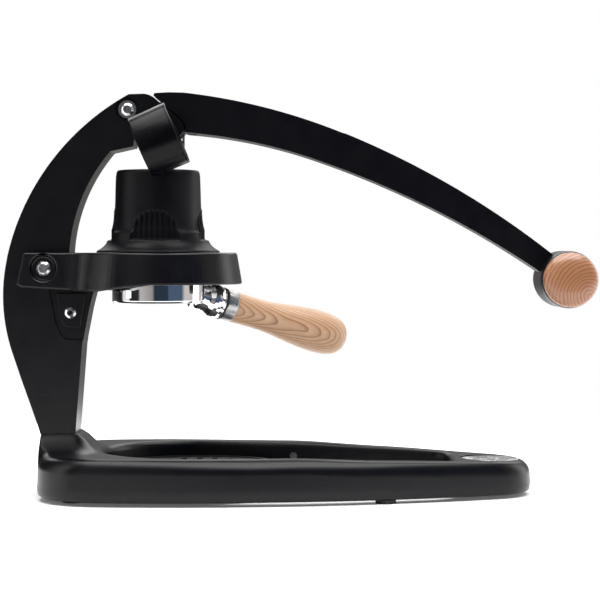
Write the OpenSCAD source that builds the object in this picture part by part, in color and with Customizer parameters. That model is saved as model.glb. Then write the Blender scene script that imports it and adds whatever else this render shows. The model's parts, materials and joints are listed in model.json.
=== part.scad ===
// Manual lever espresso press: a cast base and C-shaped post, a forked lever that
// drives a plunger through a roller and crosshead, a brew cylinder in a clamped
// ring, a bayonet portafilter, a pressure gauge that rides on the plunger.
// Origin: floor under the middle of the machine. +X front (lever handle), +Z up.

/* [Base] */
// Widest half width of the base
base_half_w = 87; // [86:0.5:88]
// Front end of the base
base_front = 173; // [172:0.5:175]
// Rear end of the base
base_rear = -193; // [-194:0.5:-192]
// Height of the rail tops above the floor
rail_top = 33.5; // [32:0.5:36]
// Height of the nose top above the floor
nose_top = 27; // [26:0.5:30]
// Width of a rail seen from above
rail_w = 18; // [17.5:0.1:18.5]
// Height of the rubber feet
foot_h = 3; // [2.5:0.5:4]

/* [Post] */
// Thickness of the post casting
post_t = 38; // [38:0.5:40]
// Thickness of each ear beside the lever
ear_t = 7.7; // [7.5:0.1:7.8]
// Height where the post enters the base
post_foot_z = 14; // [12:1:16]

/* [Lever] */
// Lever pivot, distance behind the origin
pivot_x = -127.8; // [-128:0.1:-127.6]
// Lever pivot height
pivot_z = 287.1; // [287:0.1:287.4]
// Radius from the lever pivot to the roller
crank_r = 34; // [33.5:0.5:34.5]
// Angle of the crank below level with the lever down
crank_a = 36; // [35:0.5:37]
// Width of the lever arm at the shoulder
arm_w = 38; // [36:0.5:38]
// Width of the lever arm at the handle hub
arm_tip_w = 29; // [27:0.5:31]
// Centre of the handle hub, distance in front of the origin
hub_x = 198.7; // [198.5:0.1:199]
// Centre height of the handle hub
hub_z = 161; // [160.5:0.5:161.5]
// Radius of the handle hub
hub_r = 21.3; // [21:0.1:21.5]

/* [Brew group] */
// Brew axis, distance behind the origin
brew_x = -106.3; // [-106.5:0.1:-106.1]
// Bore radius of the brew cylinder
bore_r = 26.5; // [26.5:0.1:27]
// Top of the silicone sleeve
sleeve_top = 242.6; // [241:0.2:243]
// Underside of the clamp ring
ring_z0 = 157.5; // [157.5:0.1:158]
// Top of the clamp ring
ring_z1 = 181; // [181:0.1:181.4]
// Outer radius of the ring at its top
ring_r1 = 59; // [58:0.5:60]
// Outer radius of the ring at its underside
ring_r0 = 63; // [62:0.5:64]

/* [Portafilter] */
// Outer radius of the portafilter body
pf_r = 34.5; // [34:0.1:34.6]
// Underside of the portafilter body
pf_z0 = 143.5; // [143:0.5:144]
// Turn of the locked handle away from straight ahead
pf_turn = 28; // [26:1:29]
// Downward slope of the handle
pf_slope = 15.5; // [15:0.5:16]
// Radius of the wooden grip at its fullest
grip_r = 16.4; // [15.5:0.1:16.6]

/* [Gauge] */
// Radius of the gauge case
gauge_r = 23.4; // [23:0.1:23.6]
// Length of the gauge case along its axis
gauge_l = 29; // [27:0.5:30]
// Upward tilt of the gauge face
gauge_tilt = 23.5; // [22:0.5:25]

/* [Hidden] */

big = 360;     // facets of the long sweeping arcs
fine = 96;     // facets of ordinary rounds
small = 40;    // facets of screws and pins
e = 0.02;      // overlap of joined solids
half_t = post_t / 2;
fit = 0.05;    // radial clearance of running fits

// Base plan: each long side is one arc, tangent to the rear corners and to the nose
side_x = -90;
side_r = 588;
side_y = side_r - base_half_w;
corner_r = 50;
corner_x = base_rear + corner_r;
corner_y = sqrt(pow(side_r - corner_r, 2) - pow(corner_x - side_x, 2)) - side_y;
nose_r = (pow(side_r, 2) - pow(side_y, 2) - pow(base_front - side_x, 2))
    / (2 * (side_r - (base_front - side_x)));
nose_x = base_front - nose_r;
tray_x = -78;
tray_r = 67.5;
tray_h = 15;
well_r = 69;
gap_front_x = 93;
gap_end_r = 20;
foot_places = [[-165, -52], [-165, 52], [62, -58], [62, 58]];
medal_x = 142.7;
medal_r = 21.5;
medal_z = 26.2;
bumper_x = -5;
bumper_z = 22;

// Outline arcs of the post: [centre x, centre z, radius]
post_upper = [-38, 137.7, 183.3];
post_back = [-87.6, 148.6, 132.4];
post_inner = [-43, 172.7, 128.1];
ear_top = [-116.5, 284.3, 14.2];
ear_tip = [-93.5, 273.5, 7.6];
post_toe_x = -166.5;  // front of the post foot
seam_a = 49.1;       // direction that faces the ear edge squarely
seam_gap = 1;        // gap between the ears and the shoulder of the lever
brace_x = -170;
brace_z = 136.5;
pin_r = 5;
tongue_half = half_t - ear_t - 0.5;
roller_x = pivot_x + crank_r * cos(crank_a);
roller_z = pivot_z - crank_r * sin(crank_a);
roller_r = 5;
slot_play = 0.65;
slot_z = roller_z - 0.2;
fork_half = 6.3;

// Outline arcs of the lever: [centre x, centre z, radius]
arm_top_near = [-135.4, -144.6, 446.7];
arm_top_far = [-211, -328.7, 646.1];
arm_low_near = [-113.7, -113.8, 384.8];
arm_low_far = [-215, -412.3, 700];
arm_crown = 299.5;

// Stack of the brew group
collar_low = 159.2;
collar_top = 171.2;
flange_top = 176;
pf_top = 166;
basket_rim = 167.2;
piston_z = 173;
piston_h = 12;
pipe_y = -23;
pipe_r = 2.3;
gauge_pos = [-102.3, -50, 262.4];
neck_z = 156.8;      // height where the handle axis meets the brew axis
oring_s = 53;        // stations along the handle axis, from the brew axis
ferrule_s = 54.8;
grip_s = 63.8;
grip_end_s = 165;

// ---------- plain helpers ----------
module tube(r_out, r_in, h, n = fine) {
    difference() {
        cylinder(r = r_out, h = h, $fn = n);
        translate([0, 0, -1]) cylinder(r = r_in, h = h + 2, $fn = n);
    }
}

// Points along an arc of circle c = [x, y, radius] from angle a0 to a1
function arc(c, a0, a1, n) = [for (i = [0 : n]) let (a = a0 + (a1 - a0) * i / n)
    [c[0] + c[2] * cos(a), c[1] + c[2] * sin(a)]];
// The same points below the X axis, in reverse order
function flip_y(points) = [for (i = [len(points) - 1 : -1 : 0]) [points[i][0], -points[i][1]]];
// Angle on the upper half of circle c where it reaches x
function angle_at_x(c, x) = acos((x - c[0]) / c[2]);

module disc2d(c) {
    translate([c[0], c[1]]) circle(r = c[2], $fn = big);
}

// Two round ends joined by their outer tangents
module link2d(a, b) {
    d = [b[0] - a[0], b[1] - a[1]];
    run = norm(d);
    turn = atan2(d[1], d[0]);
    lean = acos((a[2] - b[2]) / run);
    disc2d(a);
    disc2d(b);
    polygon([for (p = [[a, lean], [b, lean], [b, -lean], [a, -lean]]) let (r = p[0][2] - e / 2)
        [p[0][0] + r * cos(turn + p[1]), p[0][1] + r * sin(turn + p[1])]]);
}

// A side outline drawn in X and Z, given its width along Y
module across(w) {
    rotate([90, 0, 0]) translate([0, 0, -w / 2]) linear_extrude(w) children();
}

module both_sides() {
    children();
    mirror([0, 1, 0]) children();
}

// Button-head screw, head outwards along +Z, with a hex socket
module button_screw(head_r, head_h, shank_r, shank_l) {
    difference() {
        union() {
            cylinder(r = head_r, h = head_h * 0.45, $fn = small);
            translate([0, 0, head_h * 0.45])
                cylinder(r1 = head_r, r2 = head_r * 0.62, h = head_h * 0.55, $fn = small);
            translate([0, 0, -shank_l]) cylinder(r = shank_r, h = shank_l + e, $fn = small);
        }
        translate([0, 0, head_h * 0.3]) cylinder(r = head_r * 0.45, h = head_h, $fn = 6);
    }
}

// ---------- base ----------
// Half outline from the rear axis to the front axis: corner, long side, nose
function base_half() = let (
        to_corner = atan2(-corner_y - side_y, corner_x - side_x) + 360,
        to_nose = atan2(-side_y, nose_x - side_x) + 360)
    concat(arc([corner_x, -corner_y, corner_r], 180, to_corner, 10),
        arc([side_x, side_y, side_r], to_corner, to_nose, 16),
        arc([nose_x, 0, nose_r], to_nose, 360, 10));

module base_plan() {
    polygon(concat(base_half(), flip_y(base_half())));
}

// Half outline of the opening: round well for the tray, long side, front corner
function gap_half() = let (
        r = side_r - rail_w,
        end_y = side_y - sqrt(pow(r - gap_end_r, 2) - pow(gap_front_x - side_x, 2)),
        to_end = atan2(end_y - side_y, gap_front_x - side_x) + 360)
    concat(arc([tray_x, 0, well_r], 180, 268, 16),
        arc([side_x, side_y, r], 272, to_end, 14),
        arc([gap_front_x, end_y, gap_end_r], to_end, 360, 8));

module base_gap() {
    polygon(concat(gap_half(), flip_y(gap_half())));
}

module base_frame() {
    color("#1b1b1d") difference() {
        union() {
            difference() {
                intersection() {
                    translate([0, 0, foot_h]) linear_extrude(60) base_plan();
                    across(300) polygon([[base_rear - 5, 0], [base_rear - 5, rail_top], [-10, rail_top],
                        [60, rail_top - 3], [base_front + 5, nose_top], [base_front + 5, 0]]);
                }
                translate([0, 0, -1]) linear_extrude(60) base_gap();
            }
            // pedestal round the foot of the post
            difference() {
                translate([0, 0, foot_h]) linear_extrude(47 - foot_h) intersection() {
                    base_plan();
                    translate([base_rear, -30]) square([40, 60]);
                }
                across(80) polygon([[-150, 60], [-150, rail_top], [-161, 40], [-164.5, 48], [-164, 60]]);
            }
            // ledge that carries the drip tray and ties the rails together
            translate([tray_x, 0, foot_h + 1]) tube(well_r + 0.5, well_r - 8, 3);
        }
        // seat of the post foot
        translate([base_rear + 6, -half_t, post_foot_z]) cube([post_toe_x - base_rear - 6, post_t, 60]);
        for (x = [-182, -172]) translate([x, 0, -1]) {
            cylinder(r = 3.2, h = 30, $fn = small);
            cylinder(r = 6, h = 7, $fn = small);
        }
        translate([medal_x, 0, medal_z - 2]) cylinder(r = medal_r + 0.3, h = 20, $fn = fine);
        for (p = foot_places) translate([p[0], p[1], -1]) cylinder(r = 2.2, h = 16, $fn = small);
        both_sides() at_bumper() translate([0, 0, -3]) cylinder(r = 1.5, h = 8, $fn = small);
    }
}

// Rubber bumpers on the inner walls of the rails
module at_bumper() {
    r = side_r - rail_w;
    lean = asin((bumper_x - side_x) / r);
    translate([side_x, -side_y, bumper_z]) rotate([0, 0, 90 - lean]) rotate([0, 90, 0])
        translate([0, 0, r]) children();
}

module base_feet() {
    color("#101010") for (p = foot_places) translate([p[0], p[1], 0]) difference() {
        cylinder(r = 7.5, h = foot_h, $fn = small);
        translate([0, 0, -1]) cylinder(r = 4.2, h = 2.6, $fn = small);
        translate([0, 0, -1]) cylinder(r = 2.2, h = 10, $fn = small);
    }
}

module foot_screws() {
    color("silver") for (p = foot_places) translate([p[0], p[1], 0]) {
        translate([0, 0, 0.4]) cylinder(r = 4, h = 1.2, $fn = small);
        translate([0, 0, 0.4]) cylinder(r = 2.1, h = 12, $fn = small);
    }
}

module nose_medallion() {
    color("#b9bcc0") translate([medal_x, 0, medal_z - 2]) {
        cylinder(r = medal_r, h = 1.4, $fn = fine);
        tube(medal_r, medal_r - 1.6, 2.2);
        tube(medal_r - 5, medal_r - 6, 2);
        for (a = [0 : 30 : 330]) rotate([0, 0, a]) translate([8, -0.6, 1]) cube([6, 1.2, 0.9]);
        tube(5, 3.6, 2);
    }
}

module rail_bumpers() {
    color("#3a3a3c") both_sides() at_bumper() {
        translate([0, 0, -1.68]) cylinder(r = 2.8, h = 1.6, $fn = small);
        translate([0, 0, -0.5]) cylinder(r = 1.45, h = 4.5, $fn = small);
    }
}

module drip_tray() {
    color("#232325") translate([tray_x, 0, foot_h + 4]) difference() {
        union() {
            cylinder(r = tray_r - 2, h = tray_h, $fn = big);
            translate([0, 0, tray_h - 3]) cylinder(r = tray_r, h = 3, $fn = big);
        }
        translate([0, 0, 1.6]) cylinder(r = tray_r - 3.8, h = 20, $fn = big);
        translate([0, 0, tray_h - 2.5]) cylinder(r = tray_r - 2.4, h = 5, $fn = big);
    }
}

module drip_grate() {
    color("#232325") translate([tray_x, 0, foot_h + 4 + tray_h - 2.5]) difference() {
        cylinder(r = tray_r - 2.8, h = 1.6, $fn = big);
        for (i = [-4 : 4]) translate([i * 12 - 2.2, 0, -1]) {
            half = sqrt(pow(tray_r - 12, 2) - pow(i * 12, 2));
            translate([0, -half, 0]) cube([4.4, half - 3, 4]);
            translate([0, 3, 0]) cube([4.4, half - 3, 4]);
        }
    }
}

// ---------- post ----------
// Side outline, from the ear tip over the back, down to the foot and up the inner side
module post_side() {
    foot_x = base_rear + 6;
    back_turn = 167.5;
    polygon(concat(
        arc(ear_tip, -90, seam_a, 8),
        arc(ear_top, seam_a, 94, 6),
        arc(post_upper, 118.9, back_turn, 30),
        arc(post_back, back_turn + 0.4, 199.2, 16),
        [[-195, 54], [base_rear - 0.6, 47], [foot_x, 47], [foot_x, post_foot_z], [post_toe_x, post_foot_z],
            [post_toe_x, 46], [-161.5, 112.8], [-156.2, 140], [-153, ring_z0]],
        arc(post_inner, 186.8, 139.5, 20),
        [[-133.6, 257.4], [-123.3, 259.7], [-122.7, 264.8]]));
}

module post() {
    color("#1b1b1d") difference() {
        across(post_t) post_side();
        // slot between the ears, open to the front and the top
        across(2 * (half_t - ear_t)) {
            slot_r = 10.2;
            disc2d([pivot_x, pivot_z, slot_r]);
            translate([pivot_x, pivot_z]) rotate(-crank_a) translate([0, -slot_r]) square([90, 90]);
            translate([pivot_x, pivot_z]) rotate(-crank_a) translate([-slot_r, 0]) square([90, 90]);
        }
        rotate([90, 0, 0]) translate([pivot_x, pivot_z, -30]) cylinder(r = pin_r, h = 60, $fn = fine);
        both_sides() translate([pivot_x, half_t - 2.6, pivot_z]) rotate([-90, 0, 0])
            cylinder(r = 8.8, h = 10, $fn = fine);
        // shallow pockets of the brace plates, with their screw holes
        both_sides() translate([0, half_t - 2, 0]) rotate([-90, 0, 0]) mirror([0, 1, 0])
            linear_extrude(10) brace_pocket();
        both_sides() translate([brace_x, half_t + 1, brace_z]) rotate([90, 0, 0])
            cylinder(r = 2.5, h = 13, $fn = small);
        both_sides() translate([-189.3, half_t + 1, 169.5]) rotate([90, 0, 0])
            cylinder(r = 3, h = 14, $fn = small);
        for (x = [-182, -172]) translate([x, 0, 0]) cylinder(r = 2.5, h = 34, $fn = small);
    }
}

// Pocket outline, open to the front edge of the post, and the raised plate inside it
module brace_pocket() {
    polygon([[-186.1, 154.1], [-181.5, 129.7], [-178.8, 122.9], [-174.8, 118.5], [-171.5, 116.9],
        [-167.8, 116.3], [-150, 116.3], [-150, 154.1]]);
}

module brace_side() {
    polygon([[-180.5, 151.1], [-177.2, 131.9], [-175.6, 127.9], [-172.9, 125.7], [-162.7, 125.7],
        [-158.5, 150.4], [-159.3, 151.1]]);
}

module brace_plates() {
    color("#202022") both_sides() difference() {
        translate([0, half_t - 2, 0]) rotate([-90, 0, 0]) mirror([0, 1, 0])
            linear_extrude(2.6) brace_side();
        translate([brace_x, half_t + 5, brace_z]) rotate([90, 0, 0]) cylinder(r = 2.6, h = 20, $fn = small);
        translate([brace_x, half_t + 5, brace_z]) rotate([90, 0, 0]) cylinder(r = 5, h = 5.6, $fn = small);
    }
}

module brace_screws() {
    color("silver") both_sides() translate([brace_x, half_t - 0.6, brace_z]) rotate([-90, 0, 0])
        button_screw(4.3, 2.2, 2.4, 9);
}

module post_foot_bolts() {
    color("silver") for (x = [-182, -172]) translate([x, 0, foot_h + 1]) {
        difference() {
            cylinder(r = 4.6, h = 2, $fn = small);
            translate([0, 0, -1]) cylinder(r = 2.2, h = 2.2, $fn = 6);
        }
        cylinder(r = 2.45, h = 26, $fn = small);
    }
}

module pivot_pin() {
    color("silver") translate([pivot_x, 0, pivot_z]) rotate([90, 0, 0]) difference() {
        translate([0, 0, -half_t + 2.8]) cylinder(r = pin_r, h = 2 * half_t - 5.6, $fn = fine);
        for (s = [0, 1]) mirror([0, 0, s]) translate([0, 0, 7]) cylinder(r = 2, h = 30, $fn = small);
    }
}

module pivot_screws() {
    color("silver") both_sides() translate([pivot_x, half_t - 2.6, pivot_z]) rotate([-90, 0, 0]) {
        button_screw(4.9, 2.6, 1.95, 8);
        tube(6.6, 4.9, 0.8, small);
    }
}

// ---------- lever ----------
module pivot_bushes() {
    color("#b08d57") both_sides() translate([pivot_x, 3, pivot_z]) rotate([-90, 0, 0])
        tube(6.5, pin_r + fit, tongue_half - 3);
}

// Side outline: crown, shoulder round the ears, underside, then the top
module arm_side() {
    shoulder = [ear_tip[0], ear_tip[1], ear_tip[2] + seam_gap];
    join_top = 34.3;
    join_low = 10;
    tip_x = hub_x - 8;
    crown_r = ear_top[2] + seam_gap;
    polygon(concat(
        arc(arm_top_far, angle_at_x(arm_top_far, tip_x), angle_at_x(arm_top_far, join_top), 20),
        arc(arm_top_near, angle_at_x(arm_top_near, join_top + 1), angle_at_x(arm_top_near, -90), 16),
        [[-108.4, arm_crown]],
        [for (a = [58, seam_a]) [ear_top[0] + crown_r * cos(a), ear_top[1] + crown_r * sin(a)]],
        arc(shoulder, seam_a, -22, 8),
        arc(arm_low_near, angle_at_x(arm_low_near, -84), angle_at_x(arm_low_near, join_low), 10),
        arc(arm_low_far, angle_at_x(arm_low_far, join_low + 1), angle_at_x(arm_low_far, tip_x - 4), 20)));
}

module lever() {
    color("#1b1b1d") difference() {
        union() {
            intersection() {
                across(arm_w) arm_side();
                linear_extrude(400) polygon([[-130, -arm_w / 2], [-60, -arm_w / 2],
                    [hub_x, -arm_tip_w / 2], [hub_x, arm_tip_w / 2], [-60, arm_w / 2], [-130, arm_w / 2]]);
            }
            // tongue that runs back between the ears
            across(2 * tongue_half) {
                link2d([pivot_x, pivot_z, 9.4], [roller_x, roller_z, 8]);
                polygon([[pivot_x, pivot_z], [pivot_x + 3, pivot_z + 8.5], [-110, 294], [-95, 291],
                    [-84, 276], [roller_x, roller_z]]);
            }
        }
        // fork: room for the crosshead to swing and rise between the cheeks
        across(2 * fork_half) disc2d([roller_x, roller_z, 23.2]);
        translate([pivot_x, 0, pivot_z]) rotate([90, 0, 0]) translate([0, 0, -30])
            cylinder(r = 6.5, h = 60, $fn = fine);
        translate([roller_x, 0, roller_z]) rotate([90, 0, 0]) translate([0, 0, -30])
            cylinder(r = 3, h = 60, $fn = fine);
        translate([hub_x, 0, hub_z]) rotate([90, 0, 0]) translate([0, 0, -30])
            cylinder(r = hub_r, h = 60, $fn = fine);
    }
}

module cross_pin() {
    color("silver") translate([roller_x, 0, roller_z]) rotate([90, 0, 0]) translate([0, 0, -tongue_half])
        cylinder(r = 3, h = 2 * tongue_half, $fn = fine);
}

module cross_roller() {
    color("#b08d57") translate([roller_x, 0, roller_z]) rotate([90, 0, 0]) translate([0, 0, -fork_half + 0.4])
        tube(roller_r, 3 + fit, 2 * fork_half - 0.8);
}

module handle_hub() {
    color("#1b1b1d") translate([hub_x, 0, hub_z]) rotate([90, 0, 0]) difference() {
        union() {
            translate([0, 0, -24]) cylinder(r = hub_r, h = 48, $fn = fine);
            for (s = [0, 1]) mirror([0, 0, s]) translate([0, 0, 24])
                cylinder(r1 = hub_r, r2 = hub_r - 1, h = 6, $fn = fine);
        }
        translate([0, 0, -40]) cylinder(r = 4.2, h = 80, $fn = small);
    }
}

// Turned wooden cap, domed on its outer face
module wood_cap() {
    dome_r = 46;
    rim_r = 20.2;
    rim_h = 6;
    crown = dome_r - sqrt(pow(dome_r, 2) - pow(rim_r, 2));
    difference() {
        intersection() {
            translate([0, 0, 30]) cylinder(r = rim_r, h = rim_h + crown + 1, $fn = fine);
            translate([0, 0, 30 + rim_h + crown - dome_r]) rotate_extrude($fn = fine) intersection() {
                circle(r = dome_r, $fn = big);
                translate([0, -100]) square([100, 200]);
            }
        }
        translate([0, 0, 29]) cylinder(r = 3.9, h = 6, $fn = small);
    }
}

module near_cap() {
    color("#a8602e") translate([hub_x, 0, hub_z]) rotate([90, 0, 0]) wood_cap();
}

module far_cap() {
    color("#a8602e") translate([hub_x, 0, hub_z]) rotate([-90, 0, 0]) wood_cap();
}

module handle_bolt() {
    color("silver") translate([hub_x, 0, hub_z]) rotate([90, 0, 0]) translate([0, 0, -34])
        cylinder(r = 3.9, h = 68, $fn = small);
}

// ---------- plunger ----------
// Outline with four round corners
module rounded2d(x0, z0, x1, z1, r, n = 8) {
    polygon(concat(arc([x1 - r, z1 - r, r], 0, 90, n), arc([x0 + r, z1 - r, r], 90, 180, n),
        arc([x0 + r, z0 + r, r], 180, 270, n), arc([x1 - r, z0 + r, r], 270, 360, n)));
}

module crosshead() {
    slot_h = roller_r + slot_play;
    color("#9ea1a6") difference() {
        across(11) difference() {
            rounded2d(-112, slot_z - 10.5, -86.5, slot_z + 9.8, 5);
            rounded2d(roller_x - slot_h - 0.6, slot_z - slot_h, pivot_x + crank_r + slot_h + 0.7,
                slot_z + slot_h, slot_h - 0.2, 6);
        }
        translate([brew_x, 0, slot_z - 12]) cylinder(r = 3, h = 6, $fn = small);
    }
}

module stem_nut() {
    color("silver") translate([brew_x, 0, slot_z - 14.1]) difference() {
        cylinder(r = 5.4, h = 3.4, $fn = 6);
        translate([0, 0, -1]) cylinder(r = 3, h = 6, $fn = small);
    }
}

module plunger_stem() {
    color("#c8cacd") {
        translate([brew_x, 0, piston_z + 3]) cylinder(r = 5.5, h = slot_z - 17.2 - piston_z, $fn = fine);
        translate([brew_x, 0, slot_z - 15]) cylinder(r = 3, h = 8.8, $fn = small);
    }
}

module piston() {
    color("#c8cacd") difference() {
        translate([brew_x, 0, piston_z]) difference() {
            cylinder(r = bore_r - fit, h = piston_h, $fn = fine);
            for (z = [2.4, 7]) translate([0, 0, z]) tube(bore_r + 1, bore_r - 2.4, 2.4);
            translate([0, 0, 3]) cylinder(r = 5.5, h = 20, $fn = fine);
        }
        translate([brew_x, pipe_y, piston_z + 9.6]) cylinder(r = pipe_r, h = 20, $fn = small);
    }
}

module piston_seals() {
    color("#141414") translate([brew_x, 0, piston_z]) for (z = [2.4, 7]) translate([0, 0, z + 0.1])
        tube(bore_r - fit, bore_r - 2.4, 2.2);
}

module gauge_pipe() {
    color("#c8cacd") translate([brew_x, pipe_y, piston_z + 9.6]) difference() {
        cylinder(r = pipe_r, h = 258 - piston_z - 9.6, $fn = small);
        translate([0, 0, -1]) cylinder(r = 1.2, h = 90, $fn = small);
    }
}

module gauge_elbow() {
    color("#b08d57") difference() {
        union() {
            translate([brew_x - 3.2, pipe_y - 3, 255]) cube([11, 6, 12]);
            translate([gauge_pos[0], -18 - 6, gauge_pos[2]]) rotate([90, 0, 0]) cylinder(r = 3.4, h = 5, $fn = small);
        }
        translate([brew_x, pipe_y, 250]) cylinder(r = pipe_r, h = 8, $fn = small);
    }
}

module at_gauge() {
    translate(gauge_pos) rotate([0, 90 - gauge_tilt, 0]) children();
}

module gauge_case() {
    color("#1b1b1d") difference() {
        at_gauge() difference() {
            translate([0, 0, -gauge_l / 2]) cylinder(r = gauge_r, h = gauge_l - 1.6, $fn = fine);
            translate([0, 0, -gauge_l / 2 + 2]) cylinder(r = gauge_r - 1.8, h = gauge_l, $fn = fine);
        }
        translate([gauge_pos[0], -20, gauge_pos[2]]) rotate([90, 0, 0]) cylinder(r = 3.4, h = 12, $fn = small);
    }
}

module gauge_bezel() {
    color("#2a2a2c") at_gauge() translate([0, 0, gauge_l / 2 - 1.6]) difference() {
        cylinder(r = gauge_r, h = 1.6, $fn = fine);
        translate([0, 0, -1]) cylinder(r = gauge_r - 2.6, h = 4, $fn = fine);
    }
}

module gauge_lens() {
    color("#dfe8ea") at_gauge() translate([0, 0, gauge_l / 2 - 3]) cylinder(r = gauge_r - 1.85, h = 1.4, $fn = fine);
}

module gauge_dial() {
    color("#f2f2ee") at_gauge() translate([0, 0, gauge_l / 2 - 8]) difference() {
        cylinder(r = gauge_r - 1.85, h = 0.9, $fn = fine);
        translate([0, 0, -1]) cylinder(r = 1.4, h = 4, $fn = small);
    }
}

module gauge_needle() {
    color("#c03020") at_gauge() translate([0, 0, gauge_l / 2 - 6.6]) {
        rotate([0, 0, -45]) linear_extrude(0.6)
            polygon([[-6, -1.2], [-6, 1.2], [0, 1.3], [17, 0.35], [17, -0.35], [0, -1.3]]);
        cylinder(r = 2.2, h = 1.4, $fn = small);
        translate([0, 0, -3]) cylinder(r = 1.3, h = 3.5, $fn = small);
    }
}

// Bourdon tube with its socket block and the toothed sector plate
module gauge_movement() {
    color("#b08d57") at_gauge() {
        translate([0, 0, -gauge_l / 2 + 8]) difference() {
            tube(17, 14, 4);
            translate([-30, -4, -1]) cube([30, 12, 8]);
        }
        translate([0, 0, -gauge_l / 2 + 2]) cylinder(r = 4, h = 3.5, $fn = small);
        translate([-5, 9, -gauge_l / 2 + 2]) cube([10, 11, 8]);
        translate([-12, -3, -gauge_l / 2 + 5]) cube([14, 6, 2]);
        translate([-15.5, -8, -gauge_l / 2 + 2]) cube([3, 5, 8]);
        translate([-13, -8, -gauge_l / 2 + 5]) cube([4, 11, 2]);
    }
}

// ---------- brew group ----------
module brew_cylinder() {
    color("#c8cacd") translate([brew_x, 0, 0]) difference() {
        union() {
            translate([0, 0, collar_top]) cylinder(r = 43.9, h = flange_top - collar_top, $fn = fine);
            translate([0, 0, collar_top]) cylinder(r = 28.9, h = sleeve_top - 1.6 - collar_top, $fn = fine);
        }
        translate([0, 0, collar_top - 1]) cylinder(r = bore_r, h = 90, $fn = fine);
    }
}

// Moulded sleeve: thin wall above, a stepped band, then a flared foot on the ring
module cylinder_sleeve() {
    wall_r = 31.8;
    band_r = 37.2;
    foot_r = 46.2;
    color("#19191a") translate([brew_x, 0, 0]) {
        rotate_extrude($fn = fine) polygon([[29, ring_z1], [foot_r, ring_z1], [foot_r, ring_z1 + 0.9],
            [band_r + 4.5, ring_z1 + 3.4], [band_r + 1.2, ring_z1 + 7], [band_r, ring_z1 + 10],
            [band_r - 0.4, 194.8], [band_r - 1.6, 196.4], [34.6, 197.6], [32.9, 204], [32.1, 212],
            [wall_r, 232], [31.2, 240], [30.6, 241.6], [29.8, sleeve_top], [29, sleeve_top]]);
        intersection() {
            translate([0, 0, 190]) tube(34.6, 31, 30);
            rotate([90, 0, 0]) linear_extrude(60) {
                translate([-17.7, 190]) square([35.4, 14]);
                translate([0, 203.5]) circle(r = 17.7, $fn = fine);
            }
        }
    }
}

// Side outline of the arms: raked rear ends and an underside that dips in front of the post
module ring_side_arm() {
    polygon([[-204, ring_z1], [-209, ring_z0], [-206, ring_z0 - 2], [-186, ring_z0 - 3.5], [-158, ring_z0 - 5],
        [-148, ring_z0 - 5], [-135, ring_z0 - 3], [-118, ring_z0 - 0.4], [-110, ring_z0], [-100, ring_z0],
        [-100, ring_z1]]);
}

// Half plan of an arm with the fillet that runs into the ring
function arm_half_plan() = let (
        arm_y = 28,
        blend = 20,
        cy = arm_y + blend,
        cx = brew_x - sqrt(pow(ring_r1 + blend, 2) - pow(cy, 2)))
    concat([[-215, 0], [-215, arm_y - 1.5]], arc([cx, cy, blend], -90, -atan2(cy, brew_x - cx), 8),
        [[brew_x, ring_r1 - 6], [brew_x, 0]]);

module group_ring() {
    color("#1b1b1d") difference() {
        union() {
            translate([brew_x, 0, ring_z0]) cylinder(r1 = ring_r0, r2 = ring_r1, h = ring_z1 - ring_z0, $fn = big);
            intersection() {
                across(140) ring_side_arm();
                translate([0, 0, ring_z0 - 10]) linear_extrude(60) union() {
                    both_sides() polygon(arm_half_plan());
                    translate([brew_x, 0]) circle(r = ring_r1 + 0.01, $fn = big);
                }
            }
        }
        translate([brew_x, 0, ring_z0 - 10]) cylinder(r = 44, h = flange_top - ring_z0 + 10, $fn = fine);
        // hollow underside that clears the neck of the portafilter
        translate([brew_x, 0, ring_z0 - 0.01]) cylinder(r1 = 58, r2 = 44, h = 1.9, $fn = fine);
        translate([brew_x, 0, ring_z0]) cylinder(r = 32, h = 60, $fn = fine);
        // slot that straddles the post
        difference() {
            translate([-230, -half_t, ring_z0 - 10]) cube([80, post_t, 60]);
            across(post_t + 2) intersection() {
                disc2d([post_inner[0], post_inner[1], post_inner[2] - 0.1]);
                translate([-200, ring_z0]) square([200, 100]);
            }
        }
        both_sides() {
            translate([-189.3, 24, 169.5]) rotate([-90, 0, 0]) cylinder(r = 9.4, h = 10, $fn = fine);
            translate([-189.3, 10, 169.5]) rotate([-90, 0, 0]) cylinder(r = 3.1, h = 20, $fn = small);
        }
    }
}

module ring_bolts() {
    color("silver") both_sides() translate([-189.3, 24, 169.5]) rotate([-90, 0, 0])
        button_screw(5.6, 3, 2.95, 17);
}

module lock_collar() {
    color("#c8cacd") translate([brew_x, 0, collar_low]) difference() {
        cylinder(r = 43.95, h = collar_top - collar_low, $fn = fine);
        translate([0, 0, 2.1]) cylinder(r = 38.8, h = 60, $fn = fine);
        translate([0, 0, -1]) cylinder(r = 35.2, h = 60, $fn = fine);
        for (s = [0, 180]) rotate([0, 0, s + 36 + pf_turn]) translate([0, 0, -1]) intersection() {
            cylinder(r = 38.5, h = 6, $fn = fine);
            linear_extrude(6) polygon([[0, 0], [60 * cos(30), -60 * sin(30)], [60 * cos(30), 60 * sin(30)]]);
        }
    }
}

module group_gasket() {
    color("#141414") translate([brew_x, 0, basket_rim + 0.2]) tube(37.6, 30.2, collar_top - basket_rim - 0.2);
}

module shower_screen() {
    color("#c8cacd") translate([brew_x, 0, collar_top - 1.8]) difference() {
        cylinder(r = 29.8, h = 1.8, $fn = fine);
        translate([0, 0, 0.8]) cylinder(r = 29, h = 3, $fn = fine);
        for (k = [1 : 3]) for (a = [0 : 60 / k : 359]) rotate([0, 0, a]) translate([k * 7.5, 0, -1])
            cylinder(r = 1.1, h = 4, $fn = 16);
        translate([0, 0, -1]) cylinder(r = 1.1, h = 4, $fn = 16);
    }
}

// ---------- portafilter ----------
module at_handle(s = 0) {
    translate([brew_x, 0, neck_z]) rotate([0, 0, pf_turn]) rotate([0, 90 + pf_slope, 0])
        translate([0, 0, s]) children();
}

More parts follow.
